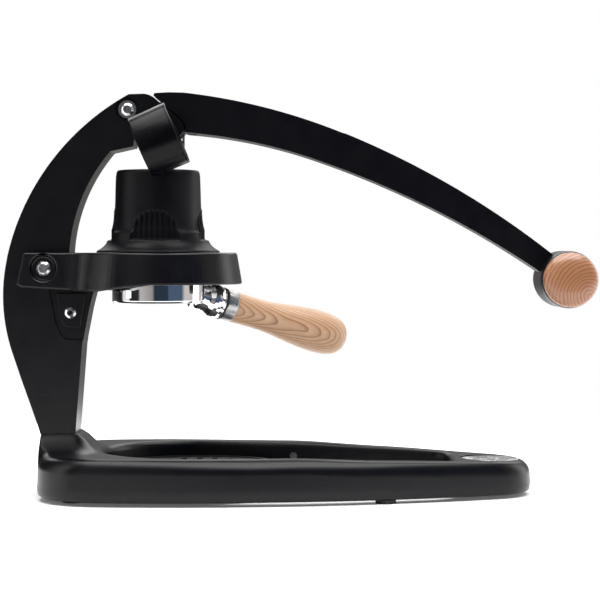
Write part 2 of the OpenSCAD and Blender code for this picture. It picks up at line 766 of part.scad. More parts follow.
module portafilter_body() {
    color("#d8dadd") difference() {
        union() {
            translate([brew_x, 0, pf_z0]) difference() {
                union() {
                    cylinder(r1 = pf_r - 0.8, r2 = pf_r, h = 2, $fn = fine);
                    translate([0, 0, 2 - e]) cylinder(r = pf_r, h = pf_top - pf_z0 - 2 + e, $fn = fine);
                    // bayonet lugs
                    translate([0, 0, pf_top - pf_z0 - 4.4]) intersection() {
                        cylinder(r = 37.9, h = 4.4, $fn = fine);
                        for (s = [90, 270]) rotate([0, 0, s + pf_turn]) linear_extrude(4.4)
                            polygon([[0, 0], [60 * cos(22), -60 * sin(22)], [60 * cos(22), 60 * sin(22)]]);
                    }
                }
                translate([0, 0, -1]) cylinder(r = 30.4, h = 60, $fn = fine);
                translate([0, 0, 15]) tube(31.4, 29, 1.8);
            }
            // root of the neck
            difference() {
                at_handle(28) cylinder(r1 = 9.8, r2 = 10.4, h = 12, $fn = fine);
                translate([brew_x, 0, 100]) cylinder(r = pf_r - 2, h = 80, $fn = fine);
            }
        }
        at_handle(37) cylinder(r = 4, h = 10, $fn = small);
    }
}

module filter_basket() {
    color("#c8cacd") translate([brew_x, 0, 0]) difference() {
        union() {
            translate([0, 0, pf_z0 + 1.2]) cylinder(r = 29.4, h = basket_rim - pf_z0 - 1.2, $fn = fine);
            translate([0, 0, pf_top + 0.1]) cylinder(r = 33.4, h = basket_rim - pf_top - 0.1, $fn = fine);
        }
        translate([0, 0, pf_z0 + 2]) cylinder(r = 28.8, h = 40, $fn = fine);
        for (k = [1 : 3]) for (a = [0 : 60 / k : 359]) rotate([0, 0, a]) translate([k * 7.5, 0, pf_z0])
            cylinder(r = 0.8, h = 4, $fn = 16);
    }
}

module basket_spring() {
    color("silver") translate([brew_x, 0, pf_z0 + 15.9]) difference() {
        rotate_extrude($fn = fine) translate([30.3, 0]) circle(r = 0.7, $fn = 24);
        translate([20, -2, -2]) cube([20, 4, 4]);
    }
}

// Neck: a chrome stalk that swells in front of the seal
module handle_neck() {
    color("#d8dadd") at_handle() rotate_extrude($fn = fine) polygon([[3.95, 40], [10.4, 40], [11.4, 42],
        [12.9, 44.4], [13.3, 46.4], [13.1, 49], [12.3, 51.5], [12, oring_s], [3.95, oring_s]]);
}

module neck_o_ring() {
    color("#111111") at_handle(oring_s) tube(12.4, 4, ferrule_s - oring_s);
}

module handle_ferrule() {
    color("#b4b7bb") at_handle(ferrule_s) difference() {
        cylinder(r1 = 12.1, r2 = 11.8, h = grip_s - ferrule_s, $fn = fine);
        translate([0, 0, -1]) cylinder(r = 4, h = 30, $fn = small);
    }
}

// Grip radius at t along it: waisted behind the ferrule, fullest at 0.75, then a round end
function smooth(x) = x <= 0 ? 0 : x >= 1 ? 1 : x * x * (3 - 2 * x);
function grip_at(t) = (11.8 - 0.5 * smooth(t / 0.18) + (grip_r - 11.3) * smooth((t - 0.2) / 0.55))
    * (t < 0.76 ? 1 : sqrt(max(0, 1 - pow((t - 0.76) / 0.24, 2.5))));

module wood_handle() {
    steps = 30;
    span = grip_end_s - grip_s;
    color("#d9a566") difference() {
        at_handle(grip_s) rotate_extrude($fn = fine) polygon(concat([[0, 0]],
            [for (i = [0 : steps - 1]) let (t = pow(i / steps, 0.7)) [grip_at(t), t * span]],
            [[0, span]]));
        at_handle(grip_s - 1) cylinder(r = 4, h = 41, $fn = small);
    }
}

module handle_stud() {
    color("silver") at_handle(37) cylinder(r = 3.9, h = 66, $fn = small);
}

base_frame();
base_feet();
foot_screws();
nose_medallion();
rail_bumpers();
drip_tray();
drip_grate();
post();
post_foot_bolts();
brace_plates();
brace_screws();
pivot_pin();
pivot_screws();
pivot_bushes();
lever();
cross_pin();
cross_roller();
handle_hub();
near_cap();
far_cap();
handle_bolt();
crosshead();
stem_nut();
plunger_stem();
piston();
piston_seals();
gauge_pipe();
gauge_elbow();
gauge_case();
gauge_bezel();
gauge_lens();
gauge_dial();
gauge_needle();
gauge_movement();
brew_cylinder();
cylinder_sleeve();
group_ring();
ring_bolts();
lock_collar();
group_gasket();
shower_screen();
portafilter_body();
filter_basket();
basket_spring();
handle_neck();
neck_o_ring();
handle_ferrule();
wood_handle();
handle_stud();
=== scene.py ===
"""Studio scene of a manual lever espresso press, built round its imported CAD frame.

Castings, sleeve, handle, caps, gauge and portafilter are rebuilt here as finished
meshes in the places the frame gives. The other CAD nodes stay and get soft edges and
a material. Lengths in the shape functions are millimetres in the frame's axes.
"""
import json
import math

import bmesh
import bpy
from mathutils import Matrix, Vector


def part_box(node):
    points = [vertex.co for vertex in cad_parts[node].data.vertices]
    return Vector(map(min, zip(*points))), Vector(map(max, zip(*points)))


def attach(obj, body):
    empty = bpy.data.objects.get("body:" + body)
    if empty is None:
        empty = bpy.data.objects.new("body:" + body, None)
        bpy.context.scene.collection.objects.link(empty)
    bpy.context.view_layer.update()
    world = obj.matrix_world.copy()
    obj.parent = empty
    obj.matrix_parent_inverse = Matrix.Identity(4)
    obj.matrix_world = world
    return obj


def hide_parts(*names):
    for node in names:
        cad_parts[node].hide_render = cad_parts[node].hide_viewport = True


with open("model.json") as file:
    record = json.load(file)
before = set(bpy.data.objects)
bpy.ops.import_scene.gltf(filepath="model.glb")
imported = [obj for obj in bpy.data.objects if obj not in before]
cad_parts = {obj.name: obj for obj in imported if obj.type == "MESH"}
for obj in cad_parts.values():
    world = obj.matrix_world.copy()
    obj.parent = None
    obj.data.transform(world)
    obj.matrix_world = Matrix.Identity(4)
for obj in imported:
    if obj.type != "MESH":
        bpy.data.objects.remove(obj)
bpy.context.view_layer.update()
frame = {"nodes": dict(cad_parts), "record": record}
MM = 0.001


# ---------------------------------------------------------------- places from the frame
def mid(node):
    """Centre of a CAD node's box, in mm."""
    low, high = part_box(node)
    return Vector([(a + b) / 2 for a, b in zip(low, high)]) / MM


def low(node):
    return Vector(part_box(node)[0]) / MM


def high(node):
    return Vector(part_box(node)[1]) / MM


PIVOT = mid("pivot_pin")
BREW = mid("brew_cylinder")
HUB = mid("handle_hub")
RING_LOW = low("group_ring").z
RING_TOP = high("group_ring").z
RING_MID, RING_TAPER = 169.3, 0.17
BOLT_X, BOLT_Z, BOLT_HOLE_R = -189.3, 169.5, 9.4
POST_HALF = high("post").y


# ---------------------------------------------------------------- outlines
def arc(cx, cz, r, a0, a1, n):
    """Points along an arc, angles in degrees."""
    angles = [math.radians(a0 + (a1 - a0) * i / n) for i in range(n + 1)]
    return [(cx + r * math.cos(a), cz + r * math.sin(a)) for a in angles]


def angle_at_x(circle, x):
    """Angle on the upper half of circle (cx, cz, r) where it reaches x."""
    return math.degrees(math.acos((x - circle[0]) / circle[2]))


def fillet(points, radii, n=5, closed=True):
    """Rounds the corners of an outline; radii is one number or one for each point."""
    count = len(points)
    if not hasattr(radii, "__len__"):
        radii = [radii] * count
    out = []
    for i, (p, r) in enumerate(zip(points, radii)):
        if r <= 0 or (not closed and i in (0, count - 1)):
            out.append(tuple(p))
            continue
        p = Vector(p)
        a = Vector(points[i - 1]) - p
        b = Vector(points[(i + 1) % count]) - p
        turn = a.angle(b)
        back = min(r / math.tan(turn / 2), 0.49 * a.length, 0.49 * b.length)
        start, end = p + a.normalized() * back, p + b.normalized() * back
        for k in range(n + 1):
            t = k / n
            out.append(tuple((1 - t) ** 2 * start + 2 * t * (1 - t) * p + t * t * end))
    return out


def smooth(x):
    x = max(0.0, min(1.0, x))
    return x * x * (3 - 2 * x)


# ---------------------------------------------------------------- mesh makers
def piece(name, bm, body, slot, replaces=(), smooth_shade=True, own_frame=None, material=None):
    """Turns a bmesh in mm into a finished object that rides on a body.

    own_frame is a matrix in mm that the mesh is drawn in, and its textures with it.
    The material is the slot's own unless another is given.
    """
    bmesh.ops.scale(bm, vec=(MM, MM, MM), verts=bm.verts)
    bmesh.ops.recalc_face_normals(bm, faces=bm.faces)
    mesh = bpy.data.meshes.new(name)
    bm.to_mesh(mesh)
    bm.free()
    for face in mesh.polygons:
        face.use_smooth = smooth_shade
    obj = bpy.data.objects.new(name, mesh)
    bpy.context.scene.collection.objects.link(obj)
    mesh.materials.append(material or MAT[slot])
    if own_frame is not None:
        obj.matrix_world = Matrix.Translation(own_frame.translation * MM) @ own_frame.to_3x3().to_4x4()
        bpy.context.view_layer.update()
    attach(obj, body)
    if replaces:
        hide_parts(*replaces)
    return obj


def prism_bm(outline, half, centre=0.0):
    """A slab with a side outline in X and Z, half wide each way along Y."""
    bm = bmesh.new()
    near = [bm.verts.new((x, centre - half, z)) for x, z in outline]
    bm.faces.new(near)
    far = [bm.verts.new((x, centre + half, z)) for x, z in outline]
    bm.faces.new(list(reversed(far)))
    n = len(outline)
    for i in range(n):
        j = (i + 1) % n
        bm.faces.new((near[j], near[i], far[i], far[j]))
    bmesh.ops.recalc_face_normals(bm, faces=bm.faces)
    return bm


def lathe_bm(profile, segments=96, closed=False):
    """Turns a profile of (radius, height) round Z. Radius 0 closes an end."""
    bm = bmesh.new()
    rings = []
    for r, z in profile:
        if r <= 1e-6:
            rings.append([bm.verts.new((0, 0, z))])
        else:
            rings.append([bm.verts.new((r * math.cos(2 * math.pi * k / segments),
                                        r * math.sin(2 * math.pi * k / segments), z))
                          for k in range(segments)])
    pairs = list(zip(rings, rings[1:]))
    if closed:
        pairs.append((rings[-1], rings[0]))
    for a, b in pairs:
        for k in range(segments):
            m = (k + 1) % segments
            if len(a) == 1 and len(b) > 1:
                bm.faces.new((a[0], b[k], b[m]))
            elif len(b) == 1 and len(a) > 1:
                bm.faces.new((a[k], b[0], a[m]))
            elif len(a) > 1:
                bm.faces.new((a[k], b[k], b[m], a[m]))
    return bm


def place(bm, matrix):
    bmesh.ops.transform(bm, matrix=matrix, verts=bm.verts)
    return bm


def along_y(at, side=1):
    """Lays a turned piece's axis along Y, toward -Y for side 1, with its origin at a point."""
    return Matrix.Translation(at) @ Matrix.Rotation(math.radians(90 * side), 4, "X")


def join(*parts):
    """Puts several bmeshes into one, as separate shells."""
    out = bmesh.new()
    for part in parts:
        temp = bpy.data.meshes.new("temp")
        part.to_mesh(temp)
        part.free()
        out.from_mesh(temp)
        bpy.data.meshes.remove(temp)
    return out


def plain_object(bm):
    """Object that takes part in a boolean cut and is removed after it."""
    mesh = bpy.data.meshes.new("temp")
    bmesh.ops.recalc_face_normals(bm, faces=bm.faces)
    bm.to_mesh(mesh)
    bm.free()
    obj = bpy.data.objects.new("temp", mesh)
    bpy.context.scene.collection.objects.link(obj)
    return obj


def discard(obj):
    mesh = obj.data
    bpy.data.objects.remove(obj)
    bpy.data.meshes.remove(mesh)


def cut_with(obj, tool):
    mod = obj.modifiers.new("cut", "BOOLEAN")
    mod.operation = "DIFFERENCE"
    mod.solver = "EXACT"
    mod.object = tool
    return mod


def evaluated(obj):
    bpy.context.view_layer.update()
    return obj.evaluated_get(bpy.context.evaluated_depsgraph_get())


def carve(base, others):
    """Cuts closed bmeshes out of a closed base and returns the rest as a bmesh."""
    body = plain_object(base)
    tools = [plain_object(other) for other in others]
    for tool in tools:
        cut_with(body, tool)
    result = evaluated(body)
    out = bmesh.new()
    out.from_mesh(result.to_mesh())
    result.to_mesh_clear()
    for obj in [body, *tools]:
        discard(obj)
    bmesh.ops.remove_doubles(out, verts=out.verts, dist=0.002)
    bmesh.ops.dissolve_limit(out, angle_limit=math.radians(0.4), verts=out.verts, edges=out.edges)
    return out


def soften(obj, width, segments=3, angle=32, clamp=True):
    """Rounds every edge sharper than angle; width in mm."""
    mod = obj.modifiers.new("edges", "BEVEL")
    mod.width = width * MM
    mod.segments = segments
    mod.limit_method = "ANGLE"
    mod.angle_limit = math.radians(angle)
    mod.harden_normals = True
    mod.miter_outer = "MITER_ARC"
    mod.use_clamp_overlap = clamp


# ---------------------------------------------------------------- materials
def shader(name):
    mat = bpy.data.materials.new(name)
    mat.use_nodes = True
    tree = mat.node_tree
    bsdf = next(n for n in tree.nodes if n.type == "BSDF_PRINCIPLED")
    coords = tree.nodes.new("ShaderNodeTexCoord")
    return mat, tree, bsdf, coords.outputs["Object"]


def noise(tree, vector, scale, detail=3.0, rough=0.5):
    node = tree.nodes.new("ShaderNodeTexNoise")
    node.inputs["Scale"].default_value = scale
    node.inputs["Detail"].default_value = detail
    node.inputs["Roughness"].default_value = rough
    tree.links.new(vector, node.inputs["Vector"])
    return node.outputs["Fac"]


def ramp(tree, fac, stops):
    """A colour or grey ramp; stops are (position, colour)."""
    node = tree.nodes.new("ShaderNodeValToRGB")
    node.color_ramp.elements[0].position = stops[0][0]
    node.color_ramp.elements[1].position = stops[-1][0]
    for position, _ in stops[1:-1]:
        node.color_ramp.elements.new(position)
    for element, (_, colour) in zip(node.color_ramp.elements, stops):
        element.color = (*colour, 1) if len(colour) == 3 else colour
    tree.links.new(fac, node.inputs["Fac"])
    return node.outputs["Color"]


def grey(value):
    return (value, value, value)


def stretch(tree, vector, scale, turn=(0, 0, 0)):
    node = tree.nodes.new("ShaderNodeMapping")
    node.inputs["Scale"].default_value = scale
    node.inputs["Rotation"].default_value = turn
    tree.links.new(vector, node.inputs["Vector"])
    return node.outputs["Vector"]


def bump(tree, bsdf, height, strength, distance):
    node = tree.nodes.new("ShaderNodeBump")
    node.inputs["Strength"].default_value = strength
    node.inputs["Distance"].default_value = distance
    tree.links.new(height, node.inputs["Height"])
    tree.links.new(node.outputs["Normal"], bsdf.inputs["Normal"])


def coated(name, dark, light, rough, spread, grain, depth, specular=0.5):
    """Painted, moulded or rubber surface with fine grain and uneven gloss."""
    mat, tree, bsdf, vector = shader(name)
    tree.links.new(ramp(tree, noise(tree, vector, 35, 4), [(0.3, dark), (0.7, light)]),
                   bsdf.inputs["Base Color"])
    tree.links.new(ramp(tree, noise(tree, vector, 60, 5),
                        [(0.25, grey(rough - spread)), (0.75, grey(rough + spread))]),
                   bsdf.inputs["Roughness"])
    bump(tree, bsdf, noise(tree, vector, grain, 2), 0.35, depth)
    bsdf.inputs["Specular IOR Level"].default_value = specular
    return mat


def metal(name, dark, light, rough, spread, grain=(900, 900, 900), depth=0.00002):
    """Bare metal with brushing or polish marks along the small axis of grain."""
    mat, tree, bsdf, vector = shader(name)
    bsdf.inputs["Metallic"].default_value = 1.0
    marks = noise(tree, stretch(tree, vector, grain), 1.0, 3)
    tree.links.new(ramp(tree, noise(tree, vector, 50, 3), [(0.3, dark), (0.7, light)]),
                   bsdf.inputs["Base Color"])
    tree.links.new(ramp(tree, marks, [(0.3, grey(max(0.02, rough - spread))), (0.7, grey(rough + spread))]),
                   bsdf.inputs["Roughness"])
    bump(tree, bsdf, marks, 0.25, depth)
    return mat


def multiply(tree, colour, by, amount):
    node = tree.nodes.new("ShaderNodeMixRGB")
    node.blend_type = "MULTIPLY"
    node.inputs["Fac"].default_value = amount
    tree.links.new(colour, node.inputs["Color1"])
    tree.links.new(by, node.inputs["Color2"])
    return node.outputs["Color"]


def wood(name, pale, tan, line, heart, lean, period, rough, coat):
    """Turned wood in its own frame, with the grain along Z.

    Growth rings lie round an axis beside the piece, period metres apart. heart is a point
    on that axis, in metres, and lean its angle to the piece. Fine pores run along the
    grain, and the colour drifts slowly.
    """
    mat, tree, bsdf, vector = shader(name)
    shift = tree.nodes.new("ShaderNodeVectorMath")
    shift.operation = "SUBTRACT"
    tree.links.new(vector, shift.inputs[0])
    shift.inputs[1].default_value = heart
    flat = stretch(tree, shift.outputs["Vector"], (1, 1, 1), (lean, 0, 0))
    warp = tree.nodes.new("ShaderNodeTexNoise")
    warp.inputs["Scale"].default_value = 75.0
    warp.inputs["Detail"].default_value = 1.5
    tree.links.new(stretch(tree, vector, (1, 1, 0.35)), warp.inputs["Vector"])
    bend = tree.nodes.new("ShaderNodeVectorMath")
    bend.operation = "MULTIPLY_ADD"
    bend.inputs[1].default_value = (0.004, 0.004, 0)
    tree.links.new(warp.outputs["Color"], bend.inputs[0])
    tree.links.new(flat, bend.inputs[2])
    rings = tree.nodes.new("ShaderNodeTexWave")
    rings.wave_type = "RINGS"
    rings.rings_direction = "Z"
    rings.wave_profile = "SAW"
    rings.inputs["Scale"].default_value = 2 * math.pi / (20 * period)
    rings.inputs["Distortion"].default_value = 0.0
    tree.links.new(bend.outputs["Vector"], rings.inputs["Vector"])
    ringed = ramp(tree, rings.outputs["Fac"],
                  [(0.0, pale), (0.35, pale), (0.72, tan), (0.90, line), (1.0, tan)])
    pores = noise(tree, stretch(tree, vector, (2600, 2600, 70)), 1.0, 2, 0.6)
    dark_pores = ramp(tree, pores, [(0.30, grey(0.66)), (0.55, grey(1.0))])
    drift = ramp(tree, noise(tree, stretch(tree, vector, (1, 1, 0.3)), 60, 2),
                 [(0.3, (0.84, 0.78, 0.72)), (0.7, grey(1.0))])
    colour = multiply(tree, multiply(tree, ringed, dark_pores, 0.5), drift, 0.6)
    tree.links.new(colour, bsdf.inputs["Base Color"])
    tree.links.new(ramp(tree, pores, [(0.3, grey(rough + 0.12)), (0.6, grey(rough))]),
                   bsdf.inputs["Roughness"])
    bump(tree, bsdf, pores, 0.18, 0.00006)
    bsdf.inputs["Coat Weight"].default_value = coat
    bsdf.inputs["Coat Roughness"].default_value = 0.06
    return mat


def glass(name):
    mat, tree, bsdf, vector = shader(name)
    bsdf.inputs["Transmission Weight"].default_value = 1.0
    bsdf.inputs["IOR"].default_value = 1.45
    tree.links.new(ramp(tree, noise(tree, vector, 80, 2), [(0.3, grey(0.02)), (0.7, grey(0.05))]),
                   bsdf.inputs["Roughness"])
    return mat


def make_materials():
    """One material for each slot, and the ink of the dial."""
    return {
        "casting": coated("powder_coat", (0.0014, 0.0013, 0.0024), (0.0021, 0.0020, 0.0033),
                          0.30, 0.04, 1500, 0.00005, 0.28),
        "gauge_black": coated("gauge_paint", (0.0007, 0.0007, 0.0016), (0.0011, 0.0011, 0.0021),
                              0.27, 0.04, 1200, 0.00003, 0.14),
        "silicone": coated("silicone", (0.0015, 0.0015, 0.0026), (0.0023, 0.0022, 0.0036),
                           0.44, 0.05, 900, 0.00004, 0.16),
        "rubber_black": coated("black_rubber", grey(0.010), grey(0.014), 0.62, 0.06, 700, 0.00005, 0.4),
        "tray_black": coated("moulded_black", grey(0.012), grey(0.016), 0.40, 0.05, 1100, 0.00004),
        "stainless": metal("brushed_stainless", grey(0.46), grey(0.54), 0.26, 0.08, (120, 120, 2600)),
        "screw_steel": metal("screw_steel", grey(0.62), grey(0.70), 0.20, 0.06),
        "chrome": metal("polished_chrome", (0.80, 0.80, 0.81), (0.84, 0.84, 0.85), 0.035, 0.01,
                        depth=0.000002),
        "satin_metal": metal("satin_turned", grey(0.34), grey(0.42), 0.30, 0.08, (2600, 300, 300)),
        "medal": metal("medal_metal", grey(0.60), grey(0.74), 0.34, 0.10, (500, 500, 500), 0.00004),
        "bronze": metal("bearing_bronze", (0.42, 0.25, 0.10), (0.52, 0.33, 0.14), 0.30, 0.08),
        "dial_white": coated("dial_paint", grey(0.72), grey(0.78), 0.50, 0.04, 900, 0.00001),
        "needle_red": coated("needle_paint", (0.42, 0.015, 0.01), (0.50, 0.02, 0.015),
                             0.35, 0.04, 900, 0.00001),
        "ink": coated("dial_ink", grey(0.012), grey(0.018), 0.55, 0.04, 900, 0.00001),
        "ash_wood": wood("pale_ash", (0.585, 0.368, 0.222), (0.50, 0.290, 0.160), (0.30, 0.145, 0.066),
                         (0.008, -0.036, 0.12), -0.25, 0.0021, 0.40, 0.12),
        "cap_wood": wood("lacquered_wood", (0.37, 0.175, 0.090), (0.31, 0.135, 0.064), (0.18, 0.062, 0.026),
                         (0.016, -0.010, 0.0), 0.0, 0.0026, 0.26, 0.30),
        "gauge_glass": glass("lens_glass"),
    }


MAT = make_materials()


# ---------------------------------------------------------------- base
SIDE_X, SIDE_R = -90.0, 588.0
BASE_HALF = high("base_frame").y
SIDE_Y = SIDE_R - BASE_HALF
REAR, FRONT = low("base_frame").x, high("base_frame").x
REAR_CORNER_R = 50.0
TRAY_X = mid("drip_tray").x
RAIL_W = 18.0
WELL_R = 69.0
GAP_END_X, GAP_END_R = 93.0, 20.0
RAIL_TOP, PEDESTAL_TOP = 33.5, 47.0
PEDESTAL_X, PEDESTAL_REACH = -163.0, 30.0
UNDERSIDE = 3.0


def touching(x, corner_r, side_r):
    """Centre height of a corner at x that touches the side arc from inside, and its bearing."""
    y = min(0.0, SIDE_Y - math.sqrt((side_r - corner_r) ** 2 - (x - SIDE_X) ** 2))
    return y, math.degrees(math.atan2(y - SIDE_Y, x - SIDE_X)) + 360


def outer_half():
    """Half outline below the X axis: rear corner, long side arc and nose."""
    reach = FRONT - SIDE_X
    nose_r = (SIDE_R ** 2 - SIDE_Y ** 2 - reach ** 2) / (2 * (SIDE_R - reach))
    corner_x, nose_x = REAR + REAR_CORNER_R, FRONT - nose_r
    corner_y, to_corner = touching(corner_x, REAR_CORNER_R, SIDE_R)
    nose_y, to_nose = touching(nose_x, nose_r, SIDE_R)
    return ([(REAR, 0.0)] + arc(corner_x, corner_y, REAR_CORNER_R, 180, to_corner, 16)
            + arc(SIDE_X, SIDE_Y, SIDE_R, to_corner, to_nose, 40)[1:]
            + arc(nose_x, nose_y, nose_r, to_nose, 360, 18)[1:])


def gap_half():
    """Half outline of the opening: round the tray, then along the inside of the rail."""
    inner_r = SIDE_R - RAIL_W
    end_y, to_end = touching(GAP_END_X, GAP_END_R, inner_r)
    return (arc(TRAY_X, 0, WELL_R, 180, 269, 30) + arc(SIDE_X, SIDE_Y, inner_r, 271.5, to_end, 34)
            + arc(GAP_END_X, end_y, GAP_END_R, to_end, 360, 14)[1:])


def resample(points, count):
    """Evenly spaced points along a polyline, ends kept."""
    points = [Vector(p) for p in points]
    steps = [0.0]
    for a, b in zip(points, points[1:]):
        steps.append(steps[-1] + (b - a).length)
    out, k = [], 0
    for i in range(count):
        want = steps[-1] * i / (count - 1)
        while k < len(points) - 2 and steps[k + 1] < want:
            k += 1
        span = max(1e-9, steps[k + 1] - steps[k])
        out.append(points[k].lerp(points[k + 1], min(1.0, (want - steps[k]) / span)))
    return out


def full_loop(half):
    return half + [Vector((p.x, -p.y)) for p in reversed(half[1:-1])]


def swell(x, y):
    """1 against the foot of the post, falling to 0 where the pedestal meets the rails."""
    away = math.hypot(max(0.0, x - PEDESTAL_X) * 1.5, max(0.0, abs(y) - POST_HALF - 0.8))
    return max(0.0, 1 - away / PEDESTAL_REACH) ** 2.1


def base_height(x, y):
    """Top of the base: level rails, falling to the nose, with a pedestal round the post."""
    rail = RAIL_TOP - 3.0 * smooth((x + 10) / 70) - 4.0 * smooth((x - 40) / 120)
    return rail + (PEDESTAL_TOP - rail) * swell(x, y)


def base_section(bm, a, b):
    """One section of the rails, from the point a of the outline to b on the opening."""
    across = b - a
    wide = across.length
    inward = across / wide
    edge_out = 11.0 - 9.1 * smooth(2.2 * swell(a.x, a.y))
    edge_in, flat_steps = 5.0, 8
    flat = wide - edge_out - edge_in - 1.0
    section = []

    def add(depth, z):
        p = a + inward * depth
        section.append(bm.verts.new((p.x, p.y, z)))

    def add_top(depth, drop=0.0):
        p = a + inward * depth
        section.append(bm.verts.new((p.x, p.y, base_height(p.x, p.y) - drop)))

    for depth, z in ((3.0, UNDERSIDE), (1.0, UNDERSIDE + 1.2), (0.2, UNDERSIDE + 4.0), (0.0, 9.5),
                     (0.3, 13.0)):
        add(depth, z)
    for k in range(9):
        turn = math.radians(90 * k / 8)
        add_top(0.5 + edge_out * (1 - math.cos(turn)), edge_out * (1 - math.sin(turn)))
    for k in range(1, flat_steps):
        add_top(0.5 + edge_out + flat * k / flat_steps)
    for k in range(7):
        turn = math.radians(90 - 90 * k / 6)
        add_top(wide - edge_in * (1 - math.cos(turn)), edge_in * (1 - math.sin(turn)))
    for depth, z in ((wide, 14.0), (wide, UNDERSIDE + 1.0), (wide - 1.0, UNDERSIDE)):
        add(depth, z)
    return section


def cut_into(obj, tool):
    """Exact boolean cut into a finished object, applied to its mesh."""
    bmesh.ops.scale(tool, vec=(MM, MM, MM), verts=tool.verts)
    helper = plain_object(tool)
    mod = cut_with(obj, helper)
    fresh = bpy.data.meshes.new_from_object(evaluated(obj))
    obj.modifiers.remove(mod)
    old = obj.data
    obj.data = fresh
    bpy.data.meshes.remove(old)
    discard(helper)


def make_base():
    """Rounded ring of rails between the outline and the opening, and the ledge of the tray."""
    count = 150
    outer = full_loop(resample(outer_half(), count))
    inner = full_loop(resample(gap_half(), count))
    bm = bmesh.new()
    sections = [base_section(bm, a, b) for a, b in zip(outer, inner)]
    for section, following in zip(sections, sections[1:] + sections[:1]):
        m = len(section)
        for k in range(m):
            bm.faces.new((section[k], section[(k + 1) % m], following[(k + 1) % m], following[k]))
    bmesh.ops.recalc_face_normals(bm, faces=bm.faces)
    medal = mid("nose_medallion")
    recess_r, recess_z = 22.3, medal.z - 3
    recess = lathe_bm([(0, recess_z), (recess_r, recess_z), (recess_r, 60), (0, 60)], 96)
    place(recess, Matrix.Translation((medal.x, 0, 0)))
    obj = piece("base_casting", bm, "frame", "casting", ["base_frame"])
    cut_into(obj, recess)
    ledge = lathe_bm(fillet([(WELL_R + 1, 4), (WELL_R + 1, 7), (WELL_R - 8, 7), (WELL_R - 8, 4)],
                            [0, 0, 1.0, 1.0], 3), 128, closed=True)
    place(ledge, Matrix.Translation((TRAY_X, 0, 0)))
    piece("base_tray_ledge", ledge, "frame", "casting", ["base_frame"])


# ---------------------------------------------------------------- post
POST_UPPER = (-38.0, 137.7, 183.3)
POST_BACK = (-87.6, 148.6, 132.4)
POST_INNER = (-43.0, 172.7, 128.1)
EAR_TOP = (-116.5, 284.3, 14.2)
EAR_TIP = (-93.5, 273.5, 7.6)
SEAM = 49.1


def post_outline():
    """Round the ear, over the back, down to the foot and up the inner side."""
    return (arc(*EAR_TIP, -90, SEAM, 10) + arc(*EAR_TOP, SEAM, 96, 8)
            + arc(*POST_UPPER, 118.9, 167.5, 48) + arc(*POST_BACK, 168, 199.2, 28)
            + [(-206.6, 87.0), (-200.2, 69.0), (-195, 54), (-190.6, 40), (-187, 30), (-187, 16),
               (-166.7, 16), (-166.7, 46), (-164.6, 72), (-161.5, 112.8), (-156.2, 140), (-153, RING_LOW)]
            + arc(*POST_INNER, 186.8, 139.5, 34)
            + [(-133.6, 257.4), (-123.3, 259.7), (-122.7, 264.8)])


POCKET = [(-186.7, 157), (-181.5, 129.7), (-176, 116.4), (-148, 116.3), (-148, 157)]
PLATE = [(-180.5, 151.1), (-177.2, 131.9), (-173.9, 125.7), (-162.7, 125.7), (-158.5, 151.1)]
SLOT_HALF, SLOT_TURN, SLOT_CORNER, SLOT_REACH = 11.3, -36, -10.2, 100
PIN_BORE_R, PIN_BORE_DEPTH = 8.8, 2.6


def slot_outline():
    """The gap between the ears: a wide corner round the pivot, open upward and forward."""
    turn = Matrix.Rotation(math.radians(SLOT_TURN), 2)
    corner = Vector((PIVOT.x, PIVOT.z)) + turn @ Vector((SLOT_CORNER, SLOT_CORNER))
    steps = ((0, 0), (SLOT_REACH, 0), (SLOT_REACH, SLOT_REACH), (0, SLOT_REACH))
    return fillet([tuple(corner + turn @ Vector(step)) for step in steps], [9, 0, 0, 0], 8)


def make_post():
    """C-shaped casting with its two ears, pin bores and pockets, and the plates in the pockets."""
    tools = [prism_bm(slot_outline(), SLOT_HALF)]
    pocket = fillet(POCKET, [0, 14, 9, 0, 0], 6)
    for side in (-1, 1):
        bore = lathe_bm([(0, 0), (PIN_BORE_R, 0), (PIN_BORE_R, 10), (0, 10)], 64)
        place(bore, along_y((PIVOT.x, side * (POST_HALF - PIN_BORE_DEPTH), PIVOT.z), -side))
        tools.append(bore)
        tools.append(prism_bm(pocket, 5, side * (POST_HALF + 3.0)))
    slab = prism_bm(post_outline(), POST_HALF)
    obj = piece("post_casting", carve(slab, tools), "frame", "casting", ["post"], False)
    soften(obj, 2.6, 5)
    raised = fillet(PLATE, [0.8, 5, 4, 1, 0.8], 5)
    plates = [prism_bm(raised, 1.3, side * (POST_HALF - 0.75)) for side in (-1, 1)]
    obj = piece("post_brace_plates", join(*plates), "frame", "casting", ["brace_plates"], False)
    soften(obj, 1.2, 4)


# ---------------------------------------------------------------- lever
ARM_TOP_NEAR = (-135.4, -144.6, 446.7)
ARM_TOP_FAR = (-211.0, -328.7, 646.1)
ARM_LOW_NEAR = (-113.7, -113.8, 384.8)
ARM_LOW_FAR = (-215.0, -412.3, 700.0)


ROOT_X, ROOT_HALF, END_HALF = -110, 19.0, 14.5
FORK_R, FORK_HALF = 23.2, 6.3
TONGUE_HALF = 10.8


